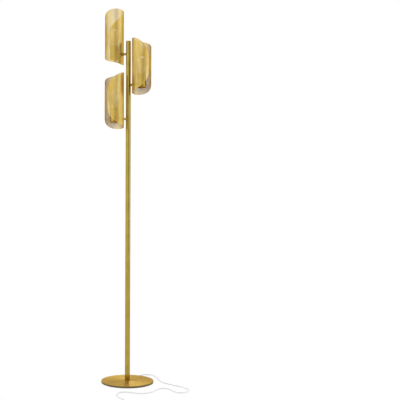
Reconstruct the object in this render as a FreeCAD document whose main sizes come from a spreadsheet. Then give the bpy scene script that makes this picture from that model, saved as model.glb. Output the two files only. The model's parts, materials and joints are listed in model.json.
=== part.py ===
import FreeCAD, Part
import Sketcher
import math
import os
import re

# Floor lamp: a round pole on a disc base, and three upright perforated sheets, each rolled
# into an open tube round a bulb. Millimetres, +Z up, origin on the floor under the pole.
# The viewer stands at -Y, so +X is the viewer's right and +Y is away.

DRIVING_SIZES = {
    # base
    "base_diameter": 230.0,
    "base_height": 10.0,
    "base_skin": 1.2,
    "base_edge_round": 1.1,
    "rim_floor_gap": 2.0,
    "pad_inset": 2.5,
    "pad_thickness": 1.5,
    "weight_gap": 0.8,
    "weight_pocket_diameter": 34.0,
    "pocket_headroom": 0.3,
    "channel_gap": 0.8,
    "nipple_diameter": 10.0,
    "nipple_bore": 6.4,
    "nipple_rise": 14.0,
    "nipple_end": 0.3,
    "washer_diameter": 24.0,
    "washer_thickness": 1.0,
    "nut_width": 14.0,
    "nut_thickness": 3.4,
    # pole: three like sections, and a top one that ends above the highest arm
    "pole_diameter": 22.0,
    "pole_wall": 1.2,
    "section_length": 365.0,
    "coupler_length": 50.0,
    "coupler_bore": 12.0,
    "coupler_groove": 1.0,
    "foot_length": 16.0,
    "pole_reach": 55.0,
    "cap_thickness": 2.0,
    "cap_plug_length": 9.0,
    "cap_edge_round": 0.5,
    # heads: the lowest arm rises from the top joint, and each other one from the arm below it
    "lower_rise": 56.0,
    "middle_rise": 150.0,
    "upper_rise": 139.0,
    "upper_angle": 151.0,
    "middle_angle": -37.0,
    "lower_angle": 212.0,
    "arm_reach": 72.0,
    "arm_diameter": 10.0,
    "arm_bore": 6.0,
    "arm_tuck": 1.0,
    "collar_diameter": 15.0,
    "collar_length": 4.0,
    "cup_diameter": 38.0,
    "cup_height": 59.5,
    "cup_wall": 1.2,
    "cup_drop": 18.3,
    "cup_base_round": 1.6,
    "holder_stub_diameter": 21.0,
    "holder_stub_height": 14.0,
    "holder_bowl_height": 32.0,
    "holder_floor": 4.0,
    "shell_wall": 0.4,
    "shell_height": 26.0,
    "shell_floor_opening": 15.0,
    "contact_diameter": 7.0,
    "contact_height": 1.6,
    "contact_gap": 0.3,
    "switch_diameter": 17.0,
    "switch_height": 10.8,
    "knob_diameter": 7.0,
    "knob_length": 10.0,
    "knob_edge_round": 0.8,
    "spindle_diameter": 4.0,
    "spindle_length": 8.0,
    # bulb
    "screw_diameter": 26.2,
    "screw_height": 22.5,
    "screw_taper_height": 4.5,
    "tip_diameter": 9.5,
    "bulb_diameter": 55.0,
    "bulb_height": 104.0,
    "bulb_neck_diameter": 25.0,
    "bulb_neck_height": 11.0,
    "glass_wall": 0.7,
    "stem_diameter": 9.0,
    "stem_height": 24.0,
    "filament_diameter": 1.4,
    "filament_height": 32.0,
    "filament_spread": 7.0,
    # shade: a flat blank with a rounded, slightly turned outline, rolled round the bulb
    "shade_radius": 41.5,
    "shade_thickness": 0.8,
    "shade_edge_gap": 4.88,
    "shade_half_height": 118.5,
    "shade_squareness": 2.43,
    "shade_skew": 0.1,
    "shade_rise": -0.11,
    "shade_lift": 76.8,
    "upper_turn": -17.8,
    "middle_turn": 0.8,
    "lower_turn": 3.0,
    # cord: it leaves the base low at the back, lies on the floor and ends in a coil and a plug
    "lead_diameter": 5.0,
    "gland_angle": 62.0,
    "gland_wall": 1.1,
    "gland_tip_wall": 0.5,
    "gland_length": 22.0,
    "lead_straight": 24.0,
    "coil_centre_x": 36.0,
    "coil_centre_y": -408.0,
    "coil_inner_radius": 22.0,
    "coil_approach": 26.0,
    "turn_gap": 0.6,
    "plug_collar_diameter": 9.0,
    "plug_collar_length": 14.0,
    "plug_back_width": 14.0,
    "plug_width": 26.0,
    "plug_length": 26.0,
    "plug_edge_round": 2.5,
    "blade_width": 6.35,
    "blade_thickness": 1.5,
    "blade_length": 17.0,
    "blade_spacing": 12.7,
    # clearances, each on the radius or between faces
    "turning_gap": 0.08,
    "seat_gap": 0.05,
    "screw_gap": 0.2,
    "loose_gap": 0.3,
    "knob_gap": 0.4,
}

# Sizes that follow from the driving ones.
FOLLOWING_SIZES = {
    "weight_diameter": "base_diameter - 2 * base_skin - 2 * weight_gap",
    "pad_diameter": "weight_diameter - 2 * pad_inset",
    "weight_pocket_depth": "washer_thickness + nut_thickness + nipple_end + pocket_headroom",
    "lead_height": "(base_height - base_skin + rim_floor_gap) / 2",
    "lead_channel_width": "lead_diameter + 2 * channel_gap",
    "lead_channel_height": "lead_height + lead_diameter / 2 + loose_gap - pad_thickness",
    "gland_diameter": "lead_diameter + 2 * gland_wall",
    "gland_tip_diameter": "lead_diameter + 2 * gland_tip_wall",
    "lower_height": "base_height + 3 * section_length + lower_rise",
    "middle_height": "lower_height + middle_rise",
    "upper_height": "middle_height + upper_rise",
    "pole_top": "upper_height + pole_reach",
    "shell_diameter": "screw_diameter + 2 * screw_gap + 2 * shell_wall",
    "shade_half_wrap": "pi * shade_radius - shade_edge_gap",
}

SHEET_NAMES = {name: f"Sizes.{name}" for name in [*DRIVING_SIZES, *FOLLOWING_SIZES]}

HEADS = ("upper", "middle", "lower")

# Which way each blank is rolled, seen from above: the middle one is rolled the other way.
ROLL = {"upper": 1, "middle": -1, "lower": 1}

# Points round a blank's outline that its closed curve passes through.
OUTLINE_POINTS = 20

# The coil winds in for 8 quarter turns below and out for 9 on top.
COIL_QUARTERS = 17
COIL_REVERSAL = 8

# The cord's route on the floor, from just past the base's back edge to just short of the coil.
CORD_ROUTE = [
    (99, 151), (122, 130), (134, 92), (140, 46), (150, 2), (174, -34), (208, -66), (242, -104),
    (262, -142), (252, -180), (224, -198), (198, -186), (182, -144), (166, -118), (138, -118),
    (120, -156), (98, -192), (62, -212), (26, -200), (-8, -180), (-36, -196), (-46, -236),
    (-34, -282), (-8, -318), (0, -352),
]

document = FreeCAD.newDocument("floor_lamp")
sheet = document.addObject("Spreadsheet::Sheet", "Sizes")
contents = [(name, str(value)) for name, value in DRIVING_SIZES.items()]
contents += [(name, f"={formula}") for name, formula in FOLLOWING_SIZES.items()]
for row, (name, content) in enumerate(contents, start=1):
    sheet.set(f"A{row}", name)
    sheet.set(f"B{row}", content)
    sheet.setAlias(f"B{row}", name)
document.recompute()

pieces = []


def size(name):
    """A driving size as a number."""
    return float(sheet.get(name))


def sized(expression):
    """An expression whose size names point at the sheet."""
    return re.sub(r"[a-z_]+", lambda word: SHEET_NAMES.get(word[0], word[0]), expression)


def bind(thing, path, expression):
    thing.setExpression(path, sized(expression))


def named(thing, label):
    """Give a finished sub-part its name and put it on the list."""
    thing.Label = label
    pieces.append(thing)
    return thing


def lift(thing, height):
    bind(thing, "Placement.Base.z", height)
    return thing


def on_head(thing, head, reach, rise):
    """Stand a piece at a reach along a head's arm and a rise above the arm's centre line."""
    bind(thing, "Placement.Base.x", f"({reach}) * cos({head}_angle)")
    bind(thing, "Placement.Base.y", f"({reach}) * sin({head}_angle)")
    bind(thing, "Placement.Base.z", f"{head}_height + {rise}")
    bind(thing, "Placement.Rotation.Angle", f"{head}_angle")
    return thing


def plane_of(body, role):
    for feature in body.Origin.OriginFeatures:
        if feature.Role == role:
            return feature
    raise ValueError(role)


def sketch_on(body, role, name):
    sketch = body.newObject("Sketcher::SketchObject", name)
    sketch.AttachmentSupport = (plane_of(body, role), [""])
    sketch.MapMode = "FlatFace"
    return sketch


def pin_point(sketch, edge, end, along, up):
    """Hold a point of an edge at expressions measured from the sketch's origin."""
    for kind, expression in (("DistanceX", along), ("DistanceY", up)):
        if expression == "0":
            axis = -2 if kind == "DistanceX" else -1
            sketch.addConstraint(Sketcher.Constraint("PointOnObject", edge, end, axis))
            continue
        index = sketch.addConstraint(Sketcher.Constraint(kind, -1, 1, edge, end, 1.0))
        sketch.setExpression(f"Constraints[{index}]", sized(expression))


def outline(sketch, corners):
    """A closed outline of straight edges through corners given as expression pairs."""
    count = len(corners)
    turn = 2 * math.pi / count
    rough = [FreeCAD.Vector(9 + math.cos(i * turn), 9 + math.sin(i * turn), 0) for i in range(count)]
    for index in range(count):
        sketch.addGeometry(Part.LineSegment(rough[index], rough[(index + 1) % count]), False)
    for index in range(count):
        follower = (index + 1) % count
        sketch.addConstraint(Sketcher.Constraint("Coincident", index, 2, follower, 1))
    for index, (along, up) in enumerate(corners):
        pin_point(sketch, index, 1, along, up)


def circle(sketch, radius, along="0", up="0"):
    """A circle whose centre is at expressions measured from the sketch's origin."""
    rough = Part.Circle(FreeCAD.Vector(1, 1, 0), FreeCAD.Vector(0, 0, 1), 1.0)
    edge = sketch.addGeometry(rough, False)
    index = sketch.addConstraint(Sketcher.Constraint("Radius", edge, 1.0))
    sketch.setExpression(f"Constraints[{index}]", sized(radius))
    pin_point(sketch, edge, 3, along, up)


def turned(name, corners, axis="V_Axis"):
    """A body turned from one outline: corners are (radius, height) about the upright axis,
    or (distance, radius) about the level axis."""
    body = document.addObject("PartDesign::Body", name)
    sketch = sketch_on(body, "XZ_Plane", f"{name}_profile")
    outline(sketch, corners)
    turning = body.newObject("PartDesign::Revolution", f"{name}_turning")
    turning.Profile = sketch
    turning.ReferenceAxis = (sketch, [axis])
    turning.Angle = 360.0
    return body


def drilled(body, role, radius, along, up, depth, backwards=False):
    """A round hole from one of the body's own planes."""
    sketch = sketch_on(body, role, f"{body.Name}_hole_mark")
    circle(sketch, radius, along, up)
    hole = body.newObject("PartDesign::Pocket", f"{body.Name}_hole")
    hole.Profile = sketch
    bind(hole, "Length", depth)
    hole.Reversed = backwards
    return hole


def softened(body, radius, *rims):
    """Round the circular edges that lie at the given (radius, height) pairs of numbers."""
    document.recompute()
    base = body.Tip
    names = []
    for number, edge in enumerate(base.Shape.Edges, start=1):
        if not isinstance(edge.Curve, Part.Circle):
            continue
        for rim_radius, rim_height in rims:
            near = abs(edge.Curve.Radius - rim_radius) < 0.01
            if near and abs(edge.Curve.Center.z - rim_height) < 0.01:
                names.append(f"Edge{number}")
    fillet = body.newObject("PartDesign::Fillet", f"{body.Name}_rounding")
    fillet.Base = (base, names)
    bind(fillet, "Radius", radius)
    return fillet


def rod(name, radius, length):
    cylinder = document.addObject("Part::Cylinder", name)
    bind(cylinder, "Radius", radius)
    bind(cylinder, "Height", length)
    return cylinder


def aim(cylinder, angle):
    """Lay a cylinder level, pointing at an angle round the pole."""
    bind(cylinder, "Placement.Rotation.Axis.x", f"0 - sin({angle})")
    bind(cylinder, "Placement.Rotation.Axis.y", f"cos({angle})")
    cylinder.setExpression("Placement.Rotation.Axis.z", "0")
    cylinder.setExpression("Placement.Rotation.Angle", "90")
    return cylinder


def cut(name, base, tool):
    result = document.addObject("Part::Cut", name)
    result.Base = base
    result.Tool = tool
    return result


def fuse(name, shapes):
    result = document.addObject("Part::MultiFuse", name)
    result.Shapes = shapes
    return result


# ---------------------------------------------------------------- base


def make_base_pad():
    named(rod("pad", "pad_diameter / 2", "pad_thickness"), "base_pad")


def make_base_weight():
    """A steel disc with a pocket below for the nut and a channel below for the lead."""
    top = "base_height - base_skin"
    plate = turned("weight_plate", [
        ("nipple_diameter / 2 + seat_gap", "pad_thickness + weight_pocket_depth"),
        ("weight_pocket_diameter / 2", "pad_thickness + weight_pocket_depth"),
        ("weight_pocket_diameter / 2", "pad_thickness"),
        ("weight_diameter / 2", "pad_thickness"),
        ("weight_diameter / 2", top),
        ("nipple_diameter / 2 + seat_gap", top),
    ])
    channel = document.addObject("Part::Box", "weight_channel")
    bind(channel, "Length", "weight_diameter")
    bind(channel, "Width", "lead_channel_width")
    bind(channel, "Height", "lead_channel_height")
    bind(channel, "Placement.Base.x", "lead_channel_width / 2 * sin(gland_angle)")
    bind(channel, "Placement.Base.y", "0 - lead_channel_width / 2 * cos(gland_angle)")
    bind(channel, "Placement.Base.z", "pad_thickness")
    bind(channel, "Placement.Rotation.Angle", "gland_angle")
    named(cut("weight_cut", plate, channel), "base_weight")


def make_base_cover():
    """A spun sheet lid over the weight, with a notch in its rim for the lead."""
    lid = turned("cover_lid", [
        ("nipple_diameter / 2 + seat_gap", "base_height - base_skin"),
        ("base_diameter / 2 - base_skin", "base_height - base_skin"),
        ("base_diameter / 2 - base_skin", "rim_floor_gap"),
        ("base_diameter / 2", "rim_floor_gap"),
        ("base_diameter / 2", "base_height"),
        ("nipple_diameter / 2 + seat_gap", "base_height"),
    ])
    softened(lid, "base_edge_round", (size("base_diameter") / 2, size("base_height")))
    notch = aim(rod("cover_notch", "gland_diameter / 2 + seat_gap", "base_diameter"), "gland_angle")
    lift(notch, "lead_height")
    named(cut("cover_cut", lid, notch), "base_cover")


def make_base_fixing():
    nipple_foot = "pad_thickness + pocket_headroom"
    nipple = turned("nipple", [
        ("nipple_bore / 2", nipple_foot),
        ("nipple_diameter / 2", nipple_foot),
        ("nipple_diameter / 2", "base_height + nipple_rise"),
        ("nipple_bore / 2", "base_height + nipple_rise"),
    ])
    named(nipple, "base_nipple")
    washer_foot = "pad_thickness + weight_pocket_depth - washer_thickness"
    washer = turned("washer", [
        ("nipple_diameter / 2 + seat_gap", washer_foot),
        ("washer_diameter / 2", washer_foot),
        ("washer_diameter / 2", "pad_thickness + weight_pocket_depth"),
        ("nipple_diameter / 2 + seat_gap", "pad_thickness + weight_pocket_depth"),
    ])
    named(washer, "base_washer")
    blank = document.addObject("Part::Prism", "nut_blank")
    blank.Polygon = 6
    bind(blank, "Circumradius", "nut_width / sqrt(3)")
    bind(blank, "Height", "nut_thickness")
    thread = rod("nut_thread", "nipple_diameter / 2 + seat_gap", "nut_thickness")
    for solid in (blank, thread):
        lift(solid, f"{washer_foot} - nut_thickness")
    named(cut("nut_cut", blank, thread), "base_nut")


def make_cord_gland():
    """A tapered strain relief moulded onto the lead, whose tail lies in the weight's channel."""
    tail = "weight_pocket_diameter / 2"
    start = "weight_diameter / 2 + seat_gap"
    gland = turned("gland", [
        (tail, "0"),
        (tail, "lead_diameter / 2"),
        (start, "lead_diameter / 2"),
        (start, "gland_diameter / 2"),
        ("base_diameter / 2 + base_skin", "gland_diameter / 2"),
        ("base_diameter / 2 + gland_length", "gland_tip_diameter / 2"),
        ("base_diameter / 2 + gland_length", "0"),
    ], "H_Axis")
    lift(gland, "lead_height")
    bind(gland, "Placement.Rotation.Angle", "gland_angle")
    named(gland, "cord_gland")


# ---------------------------------------------------------------- pole


def tube(name, foot, top):
    return turned(name, [
        ("pole_diameter / 2 - pole_wall", foot),
        ("pole_diameter / 2", foot),
        ("pole_diameter / 2", top),
        ("pole_diameter / 2 - pole_wall", top),
    ])


def make_pole_sections():
    for number in (1, 2, 3):
        foot = f"base_height + section_length * {number - 1}"
        top = f"base_height + section_length * {number}"
        named(tube(f"section_{number}", foot, top), f"pole_section_{number}")
    top_tube = tube("section_4", "base_height + section_length * 3", "pole_top - cap_thickness")
    holes = []
    for head in HEADS:
        hole = rod(f"{head}_arm_hole", "arm_diameter / 2 + seat_gap", "pole_diameter")
        holes.append(lift(aim(hole, f"{head}_angle"), f"{head}_height"))
    named(cut("section_4_cut", top_tube, fuse("arm_holes", holes)), "pole_section_4")


def make_pole_couplers():
    """Plugs inside the joints, each with a shallow groove where the two sections meet."""
    outer = "pole_diameter / 2 - pole_wall - seat_gap"
    for number in (1, 2, 3):
        joint = f"base_height + section_length * {number}"
        coupler = turned(f"coupler_{number}", [
            ("coupler_bore / 2", f"{joint} - coupler_length / 2"),
            (outer, f"{joint} - coupler_length / 2"),
            (outer, f"{joint} - coupler_groove"),
            (f"{outer} - coupler_groove", f"{joint} - coupler_groove"),
            (f"{outer} - coupler_groove", f"{joint} + coupler_groove"),
            (outer, f"{joint} + coupler_groove"),
            (outer, f"{joint} + coupler_length / 2"),
            ("coupler_bore / 2", f"{joint} + coupler_length / 2"),
        ])
        named(coupler, f"pole_coupler_{number}")


def make_pole_ends():
    outer = "pole_diameter / 2 - pole_wall - seat_gap"
    foot = turned("foot", [
        ("nipple_diameter / 2 + seat_gap", "base_height"),
        (outer, "base_height"),
        (outer, "base_height + foot_length"),
        ("nipple_diameter / 2 + seat_gap", "base_height + foot_length"),
    ])
    named(foot, "pole_foot")
    cap = turned("cap", [
        ("0", "pole_top - cap_thickness - cap_plug_length"),
        (outer, "pole_top - cap_thickness - cap_plug_length"),
        (outer, "pole_top - cap_thickness"),
        ("pole_diameter / 2", "pole_top - cap_thickness"),
        ("pole_diameter / 2", "pole_top"),
        ("0", "pole_top"),
    ])
    softened(cap, "cap_edge_round", (size("pole_diameter") / 2, size("pole_top")))
    named(cap, "pole_cap")


# ---------------------------------------------------------------- heads


def make_arm(head):
    """A short level tube from inside the pole's wall to inside the cup's wall."""
    start = "pole_diameter / 2 - pole_wall - arm_tuck"
    end = "arm_reach - cup_diameter / 2 + cup_wall"
    arm = turned(f"{head}_tube", [
        (start, "arm_bore / 2"),
        (start, "arm_diameter / 2"),
        (end, "arm_diameter / 2"),
        (end, "arm_bore / 2"),
    ], "H_Axis")
    named(on_head(arm, head, "0", "0"), f"{head}_arm")


def make_collars(head):
    """Two rings that hold the sheet between them, each curved to sit on the rolled sheet."""
    outside = turned(f"{head}_outside_ring", [
        ("arm_reach - shade_radius - shade_thickness / 2 - collar_length", "arm_diameter / 2 + seat_gap"),
        ("arm_reach - shade_radius - shade_thickness / 2 - collar_length", "collar_diameter / 2"),
        ("arm_reach - shade_radius + collar_length / 2", "collar_diameter / 2"),
        ("arm_reach - shade_radius + collar_length / 2", "arm_diameter / 2 + seat_gap"),
    ], "H_Axis")
    trim = sketch_on(outside, "XY_Plane", f"{head}_outside_trim")
    circle(trim, "shade_radius + shade_thickness / 2 + seat_gap", "arm_reach")
    pocket = outside.newObject("PartDesign::Pocket", f"{head}_outside_seat")
    pocket.Profile = trim
    pocket.Midplane = True
    bind(pocket, "Length", "collar_diameter * 2")
    named(on_head(outside, head, "0", "0"), f"{head}_collar")

    inside = turned(f"{head}_inside_ring", [
        ("arm_reach - shade_radius - collar_length / 2", "arm_diameter / 2 + seat_gap"),
        ("arm_reach - shade_radius - collar_length / 2", "collar_diameter / 2"),
        ("arm_reach - shade_radius + shade_thickness / 2 + collar_length", "collar_diameter / 2"),
        ("arm_reach - shade_radius + shade_thickness / 2 + collar_length", "arm_diameter / 2 + seat_gap"),
    ], "H_Axis")
    trim = sketch_on(inside, "XY_Plane", f"{head}_inside_trim")
    circle(trim, "shade_radius - shade_thickness / 2 - seat_gap", "arm_reach")
    circle(trim, "shade_radius + collar_diameter", "arm_reach")
    pocket = inside.newObject("PartDesign::Pocket", f"{head}_inside_seat")
    pocket.Profile = trim
    pocket.Midplane = True
    bind(pocket, "Length", "collar_diameter * 2")
    named(on_head(inside, head, "0", "0"), f"{head}_lock_ring")


def make_cup(head):
    """A spun cup with an open top, a side hole for the arm and a bottom hole for the knob."""
    wall = "cup_diameter / 2 - cup_wall"
    cup = turned(f"{head}_cup_body", [
        ("spindle_diameter / 2 + loose_gap", "0"),
        ("cup_diameter / 2", "0"),
        ("cup_diameter / 2", "cup_height"),
        (wall, "cup_height"),
        (wall, "cup_wall"),
        ("spindle_diameter / 2 + loose_gap", "cup_wall"),
    ])
    drilled(cup, "YZ_Plane", "arm_diameter / 2 + seat_gap", "0", "cup_drop", "cup_diameter", False)
    softened(cup, "cup_base_round", (size("cup_diameter") / 2, 0.0))
    named(on_head(cup, head, "arm_reach", "0 - cup_drop"), f"{head}_cup")


def make_holder(head):
    """The moulded lamp holder that fills the cup: a stub with a wide bowl on top."""
    stub_top = "cup_wall + switch_height + holder_stub_height"
    bowl_floor = f"{stub_top} + holder_floor"
    bowl_top = f"{stub_top} + holder_bowl_height"
    bowl = "cup_diameter / 2 - cup_wall - loose_gap"
    bore = "shell_diameter / 2 + seat_gap"
    holder = turned(f"{head}_holder_body", [
        ("0", "cup_wall + switch_height"),
        ("holder_stub_diameter / 2", "cup_wall + switch_height"),
        ("holder_stub_diameter / 2", stub_top),
        (bowl, stub_top),
        (bowl, bowl_top),
        (bore, bowl_top),
        (bore, bowl_floor),
        ("0", bowl_floor),
    ])
    named(on_head(holder, head, "arm_reach", "0 - cup_drop"), f"{head}_holder")

    shell = turned(f"{head}_shell_body", [
        ("shell_floor_opening / 2", bowl_floor),
        ("shell_diameter / 2", bowl_floor),
        ("shell_diameter / 2", f"{bowl_floor} + shell_height"),
        ("shell_diameter / 2 - shell_wall", f"{bowl_floor} + shell_height"),
        ("shell_diameter / 2 - shell_wall", f"{bowl_floor} + shell_wall"),
        ("shell_floor_opening / 2", f"{bowl_floor} + shell_wall"),
    ])
    named(on_head(shell, head, "arm_reach", "0 - cup_drop"), f"{head}_screw_shell")

    contact = turned(f"{head}_contact_body", [
        ("0", bowl_floor),
        ("contact_diameter / 2", bowl_floor),
        ("contact_diameter / 2", f"{bowl_floor} + contact_height / 2"),
        ("contact_diameter / 4", f"{bowl_floor} + contact_height"),
        ("0", f"{bowl_floor} + contact_height"),
    ])
    named(on_head(contact, head, "arm_reach", "0 - cup_drop"), f"{head}_contact")


def make_switch(head):
    """A small rotary switch on the cup's floor, and the knob that turns it from below."""
    hole = "spindle_diameter / 2 + turning_gap"
    blind = "spindle_length - knob_gap"
    switch = turned(f"{head}_switch_body", [
        (hole, "cup_wall"),
        ("switch_diameter / 2", "cup_wall"),
        ("switch_diameter / 2", "cup_wall + switch_height"),
        ("0", "cup_wall + switch_height"),
        ("0", blind),
        (hole, blind),
    ])
    named(on_head(switch, head, "arm_reach", "0 - cup_drop"), f"{head}_switch")

    knob = turned(f"{head}_knob_body", [
        ("0", "0"),
        ("knob_diameter / 2", "0"),
        ("knob_diameter / 2", "knob_length"),
        ("spindle_diameter / 2", "knob_length"),
        ("spindle_diameter / 2", "knob_length + spindle_length - knob_gap"),
        ("0", "knob_length + spindle_length - knob_gap"),
    ])
    softened(knob, "knob_edge_round", (size("knob_diameter") / 2, 0.0))
    named(on_head(knob, head, "arm_reach", "0 - cup_drop - knob_gap - knob_length"), f"{head}_knob")


def make_bulb(head):
    """A clear screw-in bulb: brass screw cap, pear-shaped glass, stem with four filaments."""
    holder_floor_height = "cup_wall + switch_height + holder_stub_height + holder_floor"
    rise = f"{holder_floor_height} + contact_height + contact_gap - cup_drop"
    cap = turned(f"{head}_bulb_screw", [
        ("0", "0"),
        ("tip_diameter / 4", "0"),
        ("tip_diameter / 2", "screw_taper_height / 3"),
        ("screw_diameter / 2", "screw_taper_height"),
        ("screw_diameter / 2", "screw_taper_height + screw_height"),
        ("0", "screw_taper_height + screw_height"),
    ])
    named(on_head(cap, head, "arm_reach", rise), f"{head}_bulb_cap")

    glass = document.addObject("PartDesign::Body", f"{head}_glass_body")
    outer = sketch_on(glass, "XZ_Plane", f"{head}_glass_outer")
    pear(outer, "0")
    blown = glass.newObject("PartDesign::Revolution", f"{head}_glass_blown")
    blown.Profile = outer
    blown.ReferenceAxis = (outer, ["V_Axis"])
    blown.Angle = 360.0
    inner = sketch_on(glass, "XZ_Plane", f"{head}_glass_inner")
    pear(inner, "glass_wall")
    hollow = glass.newObject("PartDesign::Groove", f"{head}_glass_hollow")
    hollow.Profile = inner
    hollow.ReferenceAxis = (inner, ["V_Axis"])
    hollow.Angle = 360.0
    named(on_head(glass, head, "arm_reach", rise), f"{head}_bulb_glass")

    stem_foot = "screw_taper_height + screw_height"
    stem = document.addObject("Part::Cone", f"{head}_stem_cone")
    bind(stem, "Radius1", "stem_diameter / 2")
    bind(stem, "Radius2", "stem_diameter / 4")
    bind(stem, "Height", "stem_height")
    rods = [rod(f"{head}_stem_rod", "filament_diameter / 2", "stem_height + filament_height")]
    for level in ("stem_height - filament_diameter", "stem_height + filament_height - filament_diameter"):
        plate = rod(f"{head}_filament_plate", "filament_spread / 2 + filament_diameter", "filament_diameter")
        bind(plate, "Placement.Base.z", level)
        rods.append(plate)
    for quarter in range(4):
        filament = rod(f"{head}_filament", "filament_diameter / 2", "filament_height")
        bind(filament, "Placement.Base.x", f"filament_spread / 2 * cos({45 + 90 * quarter})")
        bind(filament, "Placement.Base.y", f"filament_spread / 2 * sin({45 + 90 * quarter})")
        bind(filament, "Placement.Base.z", "stem_height - filament_diameter / 2")
        rods.append(filament)
    mount = fuse(f"{head}_stem_fuse", [stem] + rods)
    named(on_head(mount, head, "arm_reach", f"{rise} + {stem_foot}"), f"{head}_bulb_stem")


def pear(sketch, wall):
    """Half of a pear outline: a round top, a slanting shoulder and a straight neck."""
    neck_foot = "screw_taper_height + screw_height"
    radius = f"bulb_diameter / 2 - {wall}"
    centre = size("bulb_height") - size("bulb_diameter") / 2
    rough = size("bulb_diameter") / 2
    neck = size("bulb_neck_diameter") / 2
    foot = size("screw_taper_height") + size("screw_height")
    waist = foot + size("bulb_neck_height")
    low = FreeCAD.Vector(rough * math.cos(math.radians(-25)), centre + rough * math.sin(math.radians(-25)), 0)
    crown = Part.Circle(FreeCAD.Vector(0, centre, 0), FreeCAD.Vector(0, 0, 1), rough)
    sketch.addGeometry(Part.ArcOfCircle(crown, math.radians(-25), math.radians(90)), False)
    corners = [low, FreeCAD.Vector(neck, waist, 0), FreeCAD.Vector(neck, foot, 0), FreeCAD.Vector(0, foot, 0)]
    corners.append(FreeCAD.Vector(0, centre + rough, 0))
    for start, end in zip(corners, corners[1:]):
        sketch.addGeometry(Part.LineSegment(start, end), False)
    sketch.addConstraint(Sketcher.Constraint("Tangent", 0, 1, 1, 1))
    for index in (1, 2, 3):
        sketch.addConstraint(Sketcher.Constraint("Coincident", index, 2, index + 1, 1))
    sketch.addConstraint(Sketcher.Constraint("Coincident", 4, 2, 0, 2))
    pin_point(sketch, 0, 3, "0", "bulb_height - bulb_diameter / 2")
    index = sketch.addConstraint(Sketcher.Constraint("Radius", 0, rough))
    sketch.setExpression(f"Constraints[{index}]", sized(radius))
    sketch.addConstraint(Sketcher.Constraint("PointOnObject", 0, 2, -2))
    pin_point(sketch, 1, 2, f"bulb_neck_diameter / 2 - {wall}", f"{neck_foot} + bulb_neck_height")
    pin_point(sketch, 2, 2, f"bulb_neck_diameter / 2 - {wall}", neck_foot)
    pin_point(sketch, 3, 2, "0", neck_foot)


def blank_outline():
    """The flat blank's outline in millimetres, as one closed curve: a rounded shape between an
    ellipse and a rectangle, leaning both ways."""
    wrap = size("shade_half_wrap")
    height = size("shade_half_height")
    power = size("shade_squareness")
    points = []
    for index in range(OUTLINE_POINTS):
        angle = 2 * math.pi * index / OUTLINE_POINTS
        wide = abs(math.cos(angle) / wrap) ** power
        tall = abs(math.sin(angle) / height) ** power
        reach = (wide + tall) ** (-1 / power)
        along = reach * math.cos(angle)
        up = reach * math.sin(angle)
        points.append(FreeCAD.Base.Vector2d(along + size("shade_skew") * up, up + size("shade_rise") * along))
    curve = Part.Geom2d.BSplineCurve2d()
    curve.interpolate(Points=points, PeriodicFlag=True)
    return curve


def rolled_face(radius, head):
    """The blank rolled onto a cylinder, its middle towards the pole, as one face with its edge."""
    curve = blank_outline()
    for number, pole in enumerate(curve.getPoles(), start=1):
        around = math.pi + ROLL[head] * pole.x / size("shade_radius")
        curve.setPole(number, FreeCAD.Base.Vector2d(around, pole.y))
    surface = Part.Cylinder()
    surface.Radius = radius
    edge = curve.toShape(surface)
    return Part.Face(surface, Part.Wire([edge])), edge


def make_shade(head):
    """The perforated sheet, rolled into an open tube round the bulb, with the arm's hole."""
    half = size("shade_thickness") / 2
    inner, inner_edge = rolled_face(size("shade_radius") - half, head)
    outer, outer_edge = rolled_face(size("shade_radius") + half, head)
    rim = Part.makeRuledSurface(inner_edge, outer_edge)
    skin = Part.makeShell([inner, outer] + rim.Faces)
    skin.sewShape()
    solid = Part.Solid(skin)
    if solid.Volume < 0:
        solid.reverse()
    solid.rotate(FreeCAD.Vector(0, 0, 0), FreeCAD.Vector(0, 0, 1), size(f"{head}_turn"))
    hole_radius = size("arm_diameter") / 2 + size("seat_gap")
    start = FreeCAD.Vector(0, 0, -size("shade_lift"))
    hole = Part.makeCylinder(hole_radius, size("arm_reach"), start, FreeCAD.Vector(-1, 0, 0))
    shade = document.addObject("Part::Feature", f"{head}_rolled_sheet")
    shade.Shape = solid.cut(hole)
    named(on_head(shade, head, "arm_reach", "shade_lift"), f"{head}_shade")


# ---------------------------------------------------------------- cord


def arc_between(start, apex, end):
    """The arc that leaves start towards the apex and comes to end from it."""
    middle = (start + end) / 2
    lean = start.distanceToPoint(middle) / start.distanceToPoint(apex)
    return Part.Arc(start, middle + (apex - middle) * (lean / (1 + lean)), end).toShape()


def tube_along(path, name):
    """A round solid of the lead's diameter along a path, with its volume compared."""
    radius = size("lead_diameter") / 2
    start = path.Edges[0].firstVertex().Point
    heading = path.Edges[0].tangentAt(path.Edges[0].FirstParameter)
    section = Part.Wire([Part.makeCircle(radius, start, heading)])
    tube = path.makePipeShell([section], True, False)
    expected = math.pi * radius ** 2 * path.Length
    print(f"{name}: {path.Length:.0f} mm long, volume {tube.Volume / expected:.4f} of section times length")
    if abs(tube.Volume / expected - 1) > 0.01:
        raise RuntimeError(f"{name} has a wrong volume")
    piece = document.addObject("Part::Feature", f"{name}_tube")
    piece.Shape = tube
    return named(piece, name)


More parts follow.
